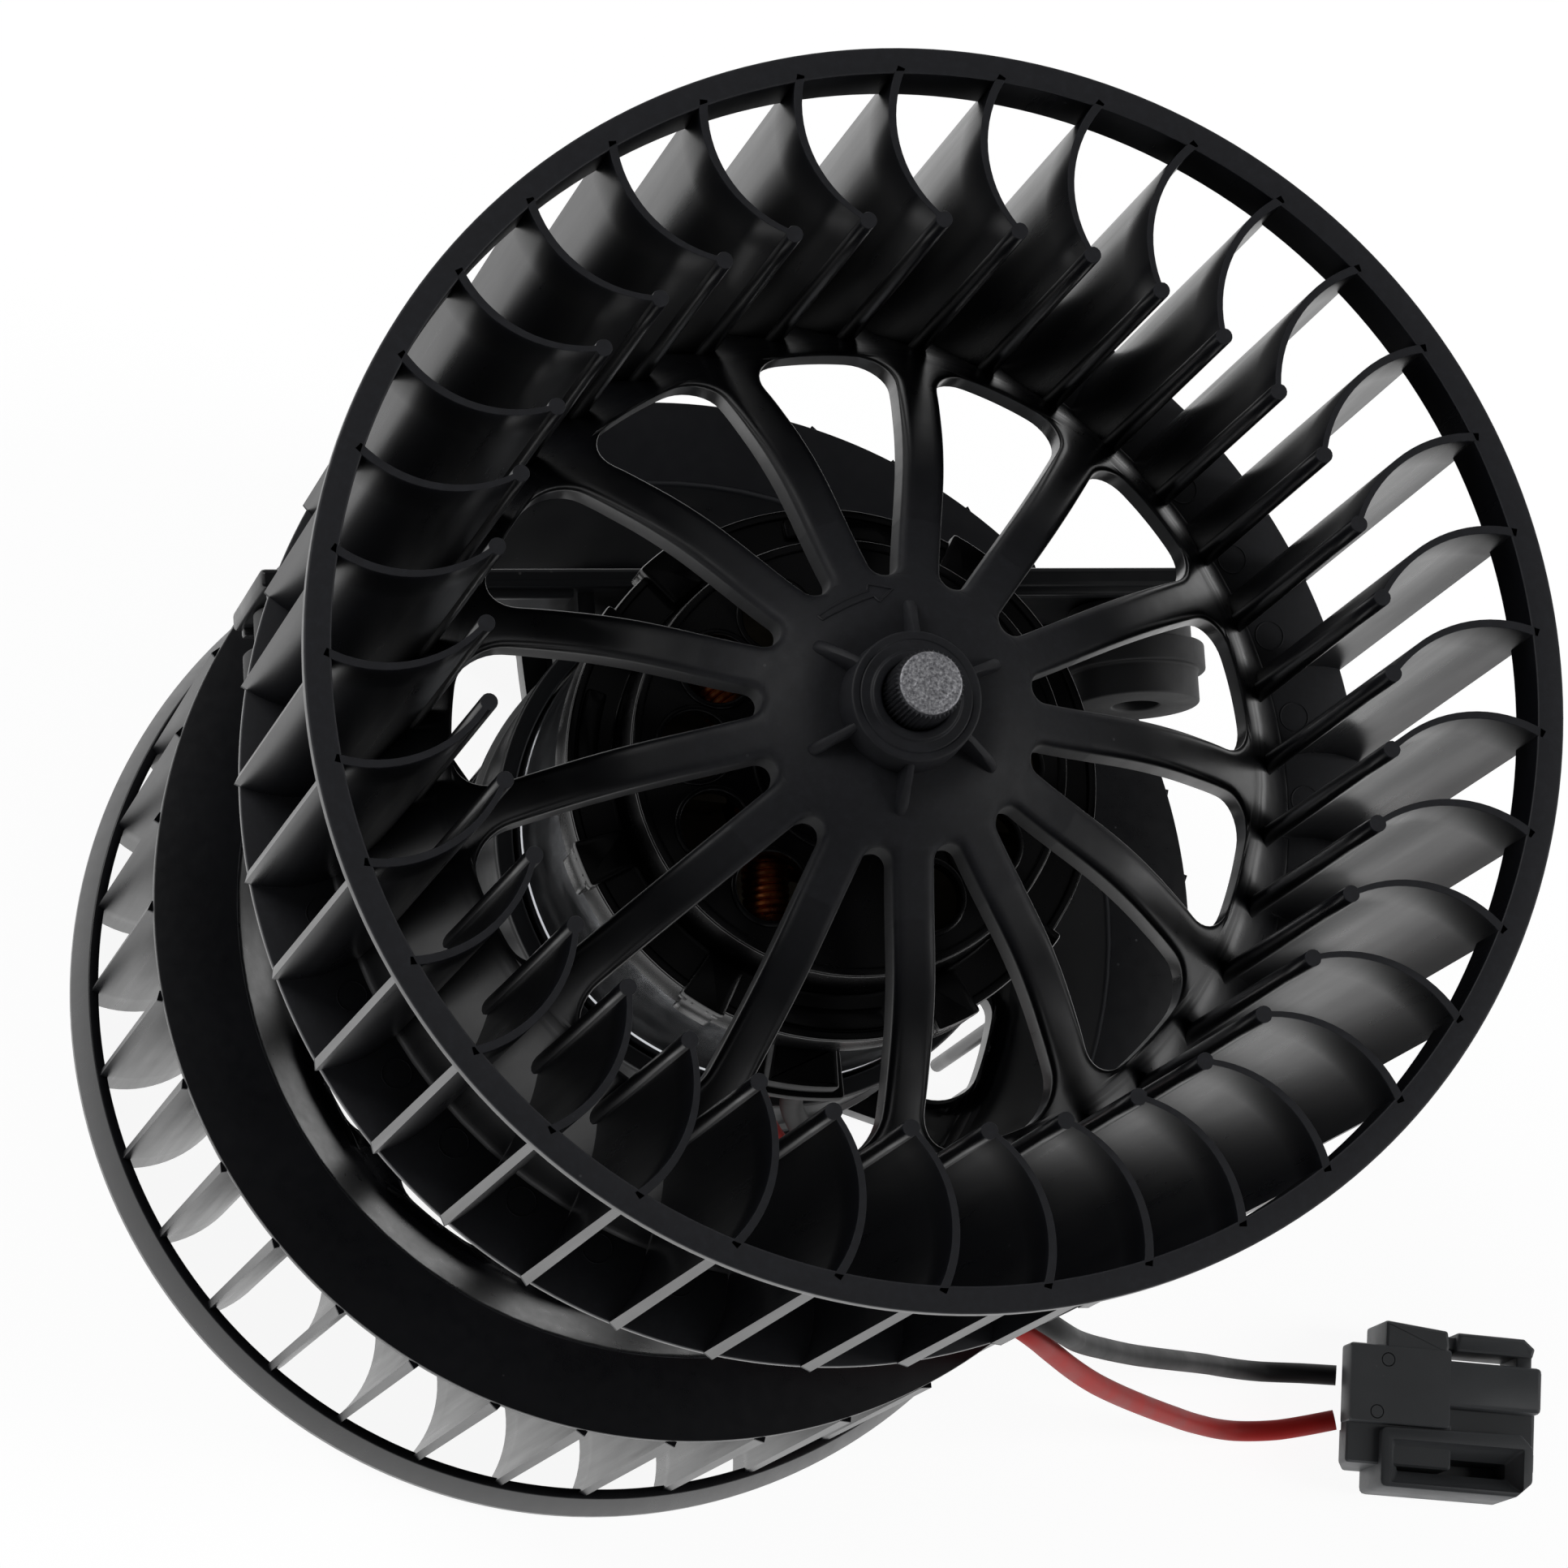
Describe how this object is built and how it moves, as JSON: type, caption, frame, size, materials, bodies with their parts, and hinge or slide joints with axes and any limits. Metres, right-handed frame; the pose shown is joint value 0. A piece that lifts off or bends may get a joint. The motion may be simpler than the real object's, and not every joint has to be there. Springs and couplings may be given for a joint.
{
  "type": "blower motor wheel",
  "caption": "Double-ended blower: a central electric motor in a strap carrier turns a squirrel-cage wheel on each shaft end; two leads run to a latching plug.",
  "frame": {"origin": "on the wheel axis, in the plane of the rear wheel rim face that the part stands on", "axes": "+Z along the shaft from the rear wheel to the front wheel, +X towards the plug, +Y towards the side of the carrier that holds the cross bar"},
  "size_m": [0.2214, 0.15, 0.2132],
  "materials": {
    "wheel_plastic": "satin moulded black polypropylene",
    "shield_plastic": "semi-gloss black",
    "carrier_plastic": "satin black",
    "zinc_steel": "zinc-plated",
    "shaft_steel": "ground steel",
    "core_steel": "stacked laminations",
    "copper": "enamelled copper wire",
    "bronze": "sintered bronze",
    "ferrite": "pressed ferrite",
    "carbon": "pressed carbon",
    "card_plastic": "moulded board",
    "fibre": "hard fibre washer",
    "spacer_plastic": "natural nylon",
    "rubber": "matte black",
    "spring_steel": "bright spring steel",
    "wire_red": "satin red insulation",
    "wire_black": "satin black insulation",
    "plug_plastic": "matte dark grey",
    "tin": "tin-plated"
  },
  "bodies": {
    "stator": {"yoke": "zinc_steel", "front_shield": "shield_plastic", "rear_shield": "shield_plastic", "front_bearing": "bronze", "rear_bearing": "bronze", "front_bearing_retainer": "zinc_steel", "rear_bearing_retainer": "zinc_steel", "magnet_right": "ferrite", "magnet_left": "ferrite", "magnet_clip_upper": "spring_steel", "magnet_clip_lower": "spring_steel", "brush_card": "card_plastic", "brush_right": "carbon", "brush_left": "carbon", "brush_spring_right": "spring_steel", "brush_spring_left": "spring_steel", "choke_upper": "copper", "choke_lower": "copper", "carrier": "carrier_plastic", "rubber_mount_right": "rubber", "rubber_mount_left": "rubber", "wire_grommet": "rubber", "red_wire": "wire_red", "black_wire": "wire_black", "plug_housing": "plug_plastic", "terminal_red": "tin", "terminal_black": "tin"},
    "rotor": {"rear_blade_cage_1": "wheel_plastic", "rear_blade_cage_2": "wheel_plastic", "rear_blade_cage_3": "wheel_plastic", "rear_blade_cage_4": "wheel_plastic", "rear_blade_cage_5": "wheel_plastic", "rear_blade_cage_6": "wheel_plastic", "front_blade_cage_1": "wheel_plastic", "front_blade_cage_2": "wheel_plastic", "front_blade_cage_3": "wheel_plastic", "front_blade_cage_4": "wheel_plastic", "front_blade_cage_5": "wheel_plastic", "front_blade_cage_6": "wheel_plastic", "rear_spoked_hub": "wheel_plastic", "front_spoked_hub": "wheel_plastic", "shaft": "shaft_steel", "armature_core": "core_steel", "armature_windings": "copper", "commutator": "copper", "rear_spacer": "spacer_plastic", "rear_thrust_washer": "fibre", "front_thrust_washer": "fibre"}
  },
  "joints": [
    {"name": "rotor_spin", "type": "hinge", "parent": "stator", "child": "rotor", "pos_m": [0, 0, 0.1066], "axis": [0, 0, 1], "continuous": true}
  ]
}
